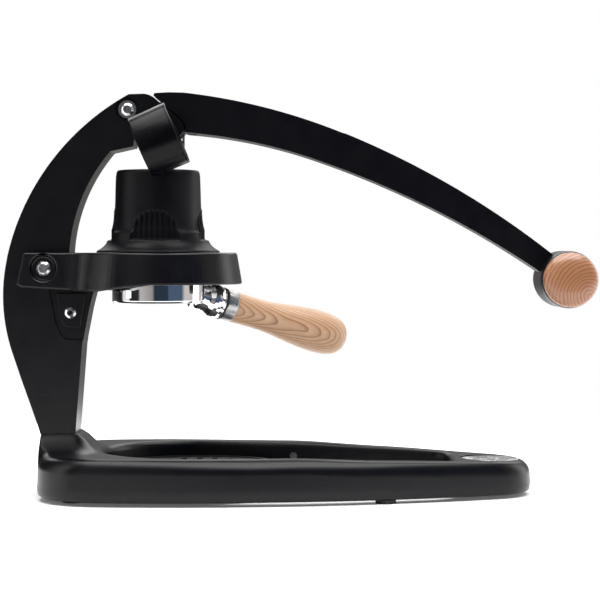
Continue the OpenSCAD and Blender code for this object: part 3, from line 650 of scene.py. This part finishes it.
def arm_outline():
    """Side outline: back along the top, round the shoulder on the ears, forward along below."""
    tip = HUB.x - 8
    crown_r, shoulder_r = EAR_TOP[2] + 1.0, EAR_TIP[2] + 1.0
    return (arc(*ARM_TOP_FAR, angle_at_x(ARM_TOP_FAR, tip), angle_at_x(ARM_TOP_FAR, 34.3), 34)
            + arc(*ARM_TOP_NEAR, angle_at_x(ARM_TOP_NEAR, 31), angle_at_x(ARM_TOP_NEAR, -86), 26)
            + [(-97, 299.6), (-107.6, 299.0)] + arc(*EAR_TOP[:2], crown_r, 58, SEAM, 1)
            + arc(*EAR_TIP[:2], shoulder_r, SEAM, -22, 10)
            + arc(*ARM_LOW_NEAR, angle_at_x(ARM_LOW_NEAR, -83), angle_at_x(ARM_LOW_NEAR, 10), 22)
            + arc(*ARM_LOW_FAR, angle_at_x(ARM_LOW_FAR, 13), angle_at_x(ARM_LOW_FAR, tip - 4), 34))


def arm_half(x):
    """Half width of the arm, falling evenly from the shoulder to the hub."""
    return ROOT_HALF + (END_HALF - ROOT_HALF) * (x - ROOT_X) / (HUB.x - ROOT_X)


def fork_cut(roller):
    cut = lathe_bm([(0, -FORK_HALF), (FORK_R, -FORK_HALF), (FORK_R, FORK_HALF), (0, FORK_HALF)], 72)
    return place(cut, along_y(roller))


def make_lever():
    """Tapered arm, with the fork tongue that goes down between the ears to the roller."""
    slab = prism_bm(arm_outline(), 1.0)
    for v in slab.verts:
        v.co.y *= arm_half(v.co.x)
    roller = mid("cross_roller")
    cut_r = HUB_R - 0.4
    hub_cut = lathe_bm([(0, -30), (cut_r, -30), (cut_r, 30), (0, 30)], 72)
    place(hub_cut, along_y(HUB))
    obj = piece("lever_arm_casting", carve(slab, [fork_cut(roller), hub_cut]), "lever_arm", "casting",
                ["lever"], False)
    soften(obj, 3.2, 6)
    tongue = fillet([(PIVOT.x - 9.2, PIVOT.z - 6), (PIVOT.x - 7, PIVOT.z + 8.6),
                     (PIVOT.x + 4, PIVOT.z + 9.4), (-110, 294), (-95, 291), (-84, 276),
                     (roller.x + 8, roller.z - 5), (roller.x + 1, roller.z - 8),
                     (roller.x - 6, roller.z - 6)], [5, 5, 4, 2, 2, 2, 4, 3, 5], 5)
    cheeks = carve(prism_bm(tongue, TONGUE_HALF), [fork_cut(roller)])
    obj = piece("lever_tongue", cheeks, "lever_arm", "casting", ["lever"], False)
    soften(obj, 0.7, 3)


# ---------------------------------------------------------------- handle at the lever end
HUB_R = high("handle_hub").z - HUB.z


HUB_HALF = high("handle_hub").y
CAP_R = 20.15


def make_hub():
    profile = fillet([(0, -HUB_HALF + 0.8), (HUB_R - 1.6, -HUB_HALF + 0.8), (HUB_R - 0.6, -HUB_HALF + 2),
                      (HUB_R, -22), (HUB_R, 22), (HUB_R - 0.6, HUB_HALF - 2),
                      (HUB_R - 1.6, HUB_HALF - 0.8), (0, HUB_HALF - 0.8)],
                     [0, 0.6, 0.8, 8, 8, 0.8, 0.6, 0], 4, closed=False)
    bm = place(lathe_bm(profile, 128), along_y(HUB))
    piece("handle_hub_casting", bm, "lever_arm", "casting", ["handle_hub"])


def make_cap(name, side):
    """Turned wooden cap with a domed face and a soft rim."""
    inner = HUB_HALF - 0.4
    outer = max(abs(low(name).y), abs(high(name).y)) - inner
    profile = [(0, 0), (CAP_R - 1.2, 0), (CAP_R - 0.35, 0.5), (CAP_R, 1.6)]
    steps, rim_z = 14, 3.2
    for k in range(1, steps + 1):
        t = math.radians(90 * k / steps)
        r = CAP_R * math.cos(t) ** 0.62 if k < steps else 0
        profile.append((r, rim_z + (outer - rim_z) * math.sin(t)))
    piece(name + "_turned", lathe_bm(profile, 128), "lever_arm", "cap_wood", [name],
          own_frame=along_y((HUB.x, side * inner, HUB.z), -side))


# ---------------------------------------------------------------- clamp ring
def ring_outline():
    """Plan outline: round ring, fillets, and the two arms that straddle the post."""
    r, arm, blend, arm_end = 61.0, 28.0, 24.0, -206.5
    cy = arm + blend
    cx = BREW.x - math.sqrt((r + blend) ** 2 - cy ** 2)
    meet = math.degrees(math.atan2(cy, cx - BREW.x))
    upper = (arc(BREW.x, 0, r, 0, meet, 44) + arc(cx, cy, blend, meet - 180, -90, 10)[1:]
             + [(arm_end, arm)])
    return upper + [(x, -y) for x, y in reversed(upper[1:])]


def ring_underside():
    """Side outline of what is cut away below the ring: arms dip in front of the post."""
    curve = fillet([(-260, 157.5), (-209, 157.5), (-205, 155.2), (-186, 154.0), (-160, 152.5),
                    (-148, 152.5), (-128, 155.6), (-108, 157.5), (0, 157.5)],
                   [0, 1.5, 3, 10, 10, 10, 20, 30, 0], 6, closed=False)
    return curve + [(0, 130), (-260, 130)]


def ring_blank():
    """The ring and its arms as one tapered block, with raked ends behind the post."""
    bm = bmesh.new()
    rings = []
    for z in (RING_LOW - 9, RING_TOP):
        ring = []
        for x, y in ring_outline():
            out = Vector((x - BREW.x, y, 0)).normalized()
            grow = (RING_MID - z) * RING_TAPER * smooth((x + 175) / 25)
            rake = (RING_MID - z) * 0.21 if x < -205 else 0.0
            ring.append(bm.verts.new((x + out.x * grow - rake, y + out.y * grow, z)))
        rings.append(ring)
    below, above = rings
    bm.faces.new(above)
    bm.faces.new(list(reversed(below)))
    n = len(below)
    for i in range(n):
        j = (i + 1) % n
        bm.faces.new((below[i], below[j], above[j], above[i]))
    bmesh.ops.recalc_face_normals(bm, faces=bm.faces)
    return bm


def make_ring():
    blank = ring_blank()
    skirt_r, lip_r, top_r, shelf_z = 46.5, 44, 32, 176
    bore = lathe_bm([(0, 140), (skirt_r, 140), (skirt_r, RING_LOW), (lip_r, RING_LOW + 2),
                     (lip_r, shelf_z), (top_r, shelf_z), (top_r, 200), (0, 200)], 128)
    place(bore, Matrix.Translation((BREW.x, 0, 0)))
    inner = [(x, z) for x, z in arc(*POST_INNER, 196, 168, 12) if 141 < z < 199]
    post_gap = prism_bm([(-240, 138), (inner[0][0], 138), *inner, (inner[-1][0], 210), (-240, 210)],
                        POST_HALF + 0.05)
    tools = [prism_bm(ring_underside(), 90), bore, post_gap]
    for side in (-1, 1):
        hole = lathe_bm([(0, 0), (BOLT_HOLE_R, 0), (BOLT_HOLE_R, 12), (0, 12)], 64)
        tools.append(place(hole, along_y((BOLT_X, side * 24, BOLT_Z), -side)))
    obj = piece("group_ring_casting", carve(blank, tools), "frame", "casting", ["group_ring"], False)
    soften(obj, 1.8, 4, clamp=False)


# ---------------------------------------------------------------- silicone sleeve
SLEEVE_PROFILE = [(46.0, 181.0), (46.2, 181.7), (45.4, 182.6), (43.0, 183.9), (40.6, 185.8), (38.8, 188.0),
                  (37.8, 190.2), (37.3, 192.6), (37.0, 194.9), (36.6, 195.9), (35.6, 196.6), (34.8, 197.2),
                  (34.0, 199.0), (33.3, 202.0), (32.75, 206.0), (32.4, 211.0), (32.1, 218.0), (31.9, 226.0),
                  (31.7, 233.0), (31.5, 238.0), (31.1, 240.4), (30.5, 241.8), (29.9, 242.4), (29.3, 242.5)]


def profile_radius(z):
    points = SLEEVE_PROFILE
    for (r0, z0), (r1, z1) in zip(points, points[1:]):
        if z0 <= z <= z1:
            return r0 + (r1 - r0) * (z - z0) / max(1e-6, z1 - z0)
    return points[-1][0]


PAD_HALF_W, PAD_ARCH_Z, PAD_FOOT_Z, PAD_ARCH_FLAT = 17.0, 197.2, 190.2, 0.93
PAD_COUNT, RIB_PITCH, RIB_DEPTH = 4, 3.86, 1.5
AROUND_R = 33.5


def sleeve_radius(turn, z):
    """Radius of the skin: the turned profile, with the ribbed pads let into it."""
    r = profile_radius(z)
    sector = 2 * math.pi / PAD_COUNT
    s = ((turn + sector / 2) % sector - sector / 2) * AROUND_R
    top = PAD_ARCH_Z + math.sqrt(max(0.0, PAD_HALF_W ** 2 - s * s)) * PAD_ARCH_FLAT
    inside = (smooth((PAD_HALF_W - abs(s)) / 0.9) * smooth((top - z) / 0.9)
              * smooth((z - PAD_FOOT_Z) / 0.8))
    if inside > 0:
        rib = 0.5 + 0.5 * math.cos(2 * math.pi * s / RIB_PITCH)
        pad = min(r, 34.4) - 1.0 + RIB_DEPTH * rib ** 1.4
        r = r + (pad - r) * inside
    from_middle = abs(s) if z < PAD_ARCH_Z else math.hypot(s, (z - PAD_ARCH_Z) / PAD_ARCH_FLAT)
    from_edge = abs(PAD_HALF_W - from_middle)
    rim = math.exp(-((from_edge - 0.6) / 0.7) ** 2) * smooth((z - PAD_FOOT_Z) / 2)
    return r + 0.3 * rim


def make_sleeve():
    """Dense turned skin with four ribbed thumb grips under round arches."""
    segments = 480
    levels = [181.0, 181.7, 182.6]
    z = 183.3
    while z < 238.2:
        levels.append(z)
        z += 0.75
    levels += [238.9, 239.7, 240.4, 241.2, 241.8, 242.2, 242.5]
    turns = [2 * math.pi * k / segments for k in range(segments)]
    sections = [[(sleeve_radius(turn, z), z) for turn in turns] for z in levels]
    sections += [[(r, z)] * segments
                 for r, z in ((29.1, 242.3), (29.0, 241.4), (29.0, 182.0), (30.0, 181.0))]
    bm = bmesh.new()
    rings = [[bm.verts.new((BREW.x + r * math.cos(turn), r * math.sin(turn), z))
              for turn, (r, z) in zip(turns, section)] for section in sections]
    rings.append(rings[0])
    for a, b in zip(rings, rings[1:]):
        for k in range(segments):
            m = (k + 1) % segments
            bm.faces.new((a[k], a[m], b[m], b[k]))
    piece("silicone_sleeve", bm, "frame", "silicone", ["cylinder_sleeve"])


# ---------------------------------------------------------------- gauge
GAUGE_AT, GAUGE_TILT = (-102.3, -50, 262.4), 23.5
GAUGE_R, GAUGE_HALF = 23.4, 14.5
DIAL_Z = GAUGE_HALF - 7.08


def gauge_matrix():
    """Takes the gauge's axis, drawn along +Z, to its place and its tilt toward the front."""
    return Matrix.Translation(GAUGE_AT) @ Matrix.Rotation(math.radians(90 - GAUGE_TILT), 4, "Y")


def gauge_piece(name, bm, slot, replaced=(), **options):
    piece(name, place(bm, gauge_matrix()), "plunger", slot, replaced, **options)


def dial_mark(k):
    """Mark k of the 40 steps of the scale, every fifth one longer and wider."""
    inner, wide = (14.6, 0.42) if k % 5 == 0 else (16.8, 0.2)
    outer, thick = 18.8, 0.12
    bar = bmesh.new()
    bmesh.ops.create_cube(bar, size=1)
    bmesh.ops.scale(bar, vec=(outer - inner, 2 * wide, thick), verts=bar.verts)
    bmesh.ops.translate(bar, vec=((outer + inner) / 2, 0, DIAL_Z), verts=bar.verts)
    return place(bar, Matrix.Rotation(math.radians(-45 - 270 * k / 40), 4, "Z"))


def make_gauge():
    r, half = GAUGE_R, GAUGE_HALF
    case = fillet([(0, -half), (r - 0.2, -half), (r, half - 1.7), (r - 1.8, half - 1.7),
                   (r - 1.8, -half + 2), (0, -half + 2)], [0, 1.1, 0.3, 0.3, 0.6, 0], 4, closed=False)
    gauge_piece("gauge_case_shell", lathe_bm(case, 160), "gauge_black", ["gauge_case"])
    bezel = fillet([(r, half - 1.7), (r + 0.02, half - 0.3), (r - 0.7, half), (r - 2.0, half),
                    (r - 2.7, half - 0.8), (r - 2.7, half - 1.7)], [0.2, 0.3, 0.4, 0.4, 0.3, 0.2], 3)
    gauge_piece("gauge_bezel_ring", lathe_bm(bezel, 160, closed=True), "gauge_black", ["gauge_bezel"])
    lens = fillet([(0, half - 3), (r - 1.9, half - 3), (r - 1.9, half - 1.75), (0, half - 1.5)],
                  [0, 0.2, 0.2, 0], 2, closed=False)
    gauge_piece("gauge_lens_glass", lathe_bm(lens, 96), "gauge_glass", ["gauge_lens"])
    scale_ring = lathe_bm([(19.1, half - 7.13), (19.1, half - 7.02), (19.5, half - 7.02),
                           (19.5, half - 7.13)], 128, closed=True)
    marks = join(scale_ring, *[dial_mark(k) for k in range(41)])
    gauge_piece("gauge_dial_marks", marks, "rubber_black", smooth_shade=False, material=MAT["ink"])


# ---------------------------------------------------------------- portafilter
PF_TURN = 28.0
PF_SLOPE = 15.5
NECK_Z = 156.8
SEAL_S, FERRULE_S, GRIP_S, GRIP_END = 53.0, 54.8, 63.8, 165.0


def handle_matrix():
    """Takes stations along +Z to the handle axis, which starts on the brew axis."""
    neck = Matrix.Translation((BREW.x, 0, NECK_Z)) @ Matrix.Rotation(math.radians(PF_TURN), 4, "Z")
    return neck @ Matrix.Rotation(math.radians(90 + PF_SLOPE), 4, "Y")


SHELL_R, SHELL_BORE_R = 34.5, 30.4
LUG_R, LUG_ROOT_R, LUG_HALF, LUG_SPAN = 37.9, 34.0, 2.2, 44


def handle_piece(name, outline, slot, replaced, closed=False):
    """A turned piece on the handle's axis."""
    turned = lathe_bm(outline, 128, closed)
    piece(name, place(turned, handle_matrix()), "portafilter", slot, replaced)


def make_lug(side, top_z):
    """A lug of the bayonet, a sector standing out of the shell."""
    steps = 12
    turns = [math.radians(side + PF_TURN - LUG_SPAN / 2 + LUG_SPAN * k / steps) for k in range(steps + 1)]
    outline = [(LUG_R * math.cos(t), LUG_R * math.sin(t)) for t in turns]
    outline += [(LUG_ROOT_R * math.cos(t), LUG_ROOT_R * math.sin(t)) for t in reversed(turns)]
    lug = place(prism_bm(outline, LUG_HALF), along_y((BREW.x, 0, top_z - LUG_HALF), -1))
    for v in lug.verts:
        v.co.y = -v.co.y
    return lug


def make_portafilter():
    low_z, top_z = low("filter_basket").z - 1.2, high("portafilter_body").z
    profile = fillet([(SHELL_BORE_R, low_z + 0.4), (31.2, low_z), (SHELL_R - 1.3, low_z),
                      (SHELL_R, low_z + 1.6), (SHELL_R, top_z), (SHELL_BORE_R, top_z)],
                     [0.3, 0.3, 1.0, 1.2, 0.3, 0.3], 5)
    shell = place(lathe_bm(profile, 192, closed=True), Matrix.Translation((BREW.x, 0, 0)))
    piece("portafilter_shell", shell, "portafilter", "chrome", ["portafilter_body"])
    lugs = join(*[make_lug(side, top_z) for side in (90, 270)])
    soften(piece("portafilter_lugs", lugs, "portafilter", "chrome", ["portafilter_body"], False), 0.5, 3)
    neck = fillet([(0, 30), (9.6, 30), (9.9, 36), (10.6, 40), (12.9, 43.6), (13.3, 46.4), (13.1, 49),
                   (12.2, 51.6), (12.2, SEAL_S), (0, SEAL_S)], [0, 0, 4, 4, 2, 2, 2, 0.6, 0.3, 0], 5,
                  closed=False)
    handle_piece("portafilter_neck", neck, "chrome", ["handle_neck"])
    seal = fillet([(11, SEAL_S), (12.4, SEAL_S), (12.4, FERRULE_S), (11, FERRULE_S)], 0.7, 4)
    handle_piece("neck_seal", seal, "rubber_black", ["neck_o_ring"], closed=True)
    ferrule = fillet([(0, FERRULE_S), (11.8, FERRULE_S), (12.1, FERRULE_S + 0.6), (11.9, GRIP_S - 0.6),
                      (11.6, GRIP_S), (0, GRIP_S)], [0, 0.2, 0.4, 0.4, 0.2, 0], 3, closed=False)
    handle_piece("grip_ferrule", ferrule, "satin_metal", ["handle_ferrule"])


# Half profile of the wooden grip: how far along it, from 0 to 1, and the radius there
GRIP_SHAPE = [(0.0, 11.75), (0.08, 11.55), (0.18, 11.35), (0.28, 11.6), (0.38, 12.55), (0.48, 13.95),
              (0.58, 15.25), (0.67, 16.05), (0.75, 16.35), (0.82, 16.1), (0.88, 15.3), (0.93, 13.5),
              (0.965, 10.7), (0.987, 6.8), (0.997, 3.2), (1.0, 0.0)]
END_GAP = 0.05


def make_grip():
    """Turned grip, smoothed by subdivision but with a sharp edge at the ferrule."""
    start = GRIP_S + END_GAP
    reach = GRIP_END - GRIP_S - 2 * END_GAP
    bm = lathe_bm([(0, start)] + [(r, start + reach * t) for t, r in GRIP_SHAPE], 64)
    crease = bm.edges.layers.float.new("crease_edge")
    for edge in bm.edges:
        if {round(v.co.z, 4) for v in edge.verts} == {round(start, 4)}:
            edge.smooth = False
            edge[crease] = 0.9
    obj = piece("grip_turned", bm, "portafilter", "ash_wood", ["wood_handle"], own_frame=handle_matrix())
    mod = obj.modifiers.new("round", "SUBSURF")
    mod.levels = 2
    mod.render_levels = 2


# ---------------------------------------------------------------- other CAD nodes
def finish_cad(node, slot_name):
    """Gives a CAD node its material and narrow rounded edges."""
    obj = frame["nodes"][node]
    obj.data.materials.clear()
    obj.data.materials.append(MAT[slot_name])
    merge = obj.modifiers.new("flat_faces", "DECIMATE")
    merge.decimate_type = "DISSOLVE"
    merge.angle_limit = math.radians(0.5)
    soften(obj, 0.35, 2, 40)


REBUILT = {"base_frame", "post", "brace_plates", "lever", "handle_hub", "near_cap", "far_cap",
           "group_ring", "cylinder_sleeve", "gauge_case", "gauge_bezel", "gauge_lens",
           "portafilter_body", "handle_neck", "neck_o_ring", "handle_ferrule", "wood_handle"}


def finish_all_cad():
    slots = {row["node"]: row["material_slot"] for row in frame["record"]["subparts"]}
    for node in frame["nodes"]:
        if node not in REBUILT:
            finish_cad(node, slots[node])


# ---------------------------------------------------------------- studio
FLOOR_X, FLOOR_Y = 1.5, 0.6
# Lights: name, place, aim, width, height and radiance
LIGHTS = [("top_soft", (0.05, -0.15, 1.35), (0.05, -0.15, 0.1), 1.7, 1.3, 5.0),
          ("front_soft", (0.15, -1.05, 1.60), (0, 0, 0.15), 1.5, 0.7, 3.6),
          ("back_soft", (0.0, 1.30, 1.05), (0, 0, 0.1), 2.2, 0.8, 2.2),
          ("right_back", (1.25, 0.55, 0.45), (0.05, 0, 0.15), 0.7, 0.9, 2.0),
          ("left_side", (-1.3, -0.35, 0.5), (-0.1, 0, 0.15), 0.35, 0.9, 1.6)]

# Surroundings by compass direction, as (turn / 360, brightness, tint); the camera's side is 0.25
WARM, COOL = (1.0, 0.96, 0.94), (0.60, 0.92, 1.45)
SURROUND = [(0.0, 0.62, WARM), (0.04, 0.62, WARM), (0.055, 0.015, WARM), (0.12, 0.02, WARM),
            (0.135, 0.36, WARM), (0.22, 0.22, WARM), (0.235, 0.028, COOL), (0.325, 0.030, COOL),
            (0.335, 0.085, COOL), (0.43, 0.085, COOL), (0.455, 0.42, WARM), (0.62, 0.40, WARM),
            (0.68, 0.18, WARM), (0.80, 0.18, WARM), (0.83, 0.02, WARM), (0.95, 0.02, WARM),
            (0.97, 0.62, WARM), (1.0, 0.62, WARM)]


def pale_floor():
    """Pale matt floor that glows away from the object, so that it meets the backdrop unseen."""
    mat, tree, bsdf, vector = shader("pale_floor")
    tree.links.new(ramp(tree, noise(tree, vector, 3, 2), [(0.3, grey(0.90)), (0.7, grey(0.92))]),
                   bsdf.inputs["Base Color"])
    bsdf.inputs["Roughness"].default_value = 0.7
    bsdf.inputs["Specular IOR Level"].default_value = 0.2
    bsdf.inputs["Emission Color"].default_value = (1, 1, 1, 1)
    away = tree.nodes.new("ShaderNodeVectorMath")
    away.operation = "LENGTH"
    tree.links.new(vector, away.inputs[0])
    tree.links.new(ramp(tree, away.outputs["Value"], [(0.26, grey(0.10)), (0.80, grey(0.85))]),
                   bsdf.inputs["Emission Strength"])
    return mat


def make_floor():
    corners = ((-FLOOR_X, -FLOOR_Y, 0), (FLOOR_X, -FLOOR_Y, 0), (FLOOR_X, FLOOR_Y, 0),
               (-FLOOR_X, FLOOR_Y, 0))
    bm = bmesh.new()
    bm.faces.new([bm.verts.new(corner) for corner in corners])
    mesh = bpy.data.meshes.new("floor")
    bm.to_mesh(mesh)
    bm.free()
    mesh.materials.append(pale_floor())
    floor = bpy.data.objects.new("floor", mesh)
    bpy.context.scene.collection.objects.link(floor)


def make_light(name, place_at, aim, size_x, size_y, radiance):
    light = bpy.data.lights.new(name, "AREA")
    light.shape = "RECTANGLE"
    light.size, light.size_y = size_x, size_y
    light.energy = radiance * math.pi * size_x * size_y
    obj = bpy.data.objects.new(name, light)
    bpy.context.scene.collection.objects.link(obj)
    obj.location = place_at
    obj.rotation_euler = (Vector(aim) - Vector(place_at)).to_track_quat("-Z", "Y").to_euler()
    obj.visible_camera = False


def make_world():
    """White to the camera; to everything else a studio with dark and bright panels."""
    world = bpy.data.worlds.new("studio")
    bpy.context.scene.world = world
    world.use_nodes = True
    tree = world.node_tree
    background = next(n for n in tree.nodes if n.type == "BACKGROUND")
    coords = tree.nodes.new("ShaderNodeTexCoord")
    compass = tree.nodes.new("ShaderNodeTexGradient")
    compass.gradient_type = "RADIAL"
    tree.links.new(coords.outputs["Generated"], compass.inputs["Vector"])
    stops = [(turn, tuple(bright * t for t in tint)) for turn, bright, tint in SURROUND]
    panels = ramp(tree, compass.outputs["Fac"], stops)
    tree.links.new(panels, background.inputs["Color"])
    background.inputs["Strength"].default_value = 1.5
    backdrop = tree.nodes.new("ShaderNodeBackground")
    backdrop.inputs["Color"].default_value = (1, 1, 1, 1)
    path = tree.nodes.new("ShaderNodeLightPath")
    pick = tree.nodes.new("ShaderNodeMixShader")
    tree.links.new(path.outputs["Is Camera Ray"], pick.inputs["Fac"])
    tree.links.new(background.outputs["Background"], pick.inputs[1])
    tree.links.new(backdrop.outputs["Background"], pick.inputs[2])
    surface = next(n for n in tree.nodes if n.type == "OUTPUT_WORLD")
    tree.links.new(pick.outputs["Shader"], surface.inputs["Surface"])
    bpy.context.scene.view_settings.view_transform = "Standard"


def make_camera():
    """Long lens in front of the machine, looking very slightly down."""
    data = bpy.data.cameras.new("camera")
    data.lens = 120.0
    data.sensor_width = 36.0
    data.clip_end = 50.0
    obj = bpy.data.objects.new("camera", data)
    bpy.context.scene.collection.objects.link(obj)
    obj.location = (0.0, -1.5, 0.183)
    drop = math.atan(0.025)
    obj.rotation_euler = (math.radians(90) - drop, 0, 0)
    bpy.context.scene.camera = obj


make_camera()
make_floor()
make_world()
for light_row in LIGHTS:
    make_light(*light_row)
make_base()
make_post()
make_lever()
make_hub()
make_cap("near_cap", -1)
make_cap("far_cap", 1)
make_ring()
make_sleeve()
make_gauge()
make_portafilter()
make_grip()
finish_all_cad()
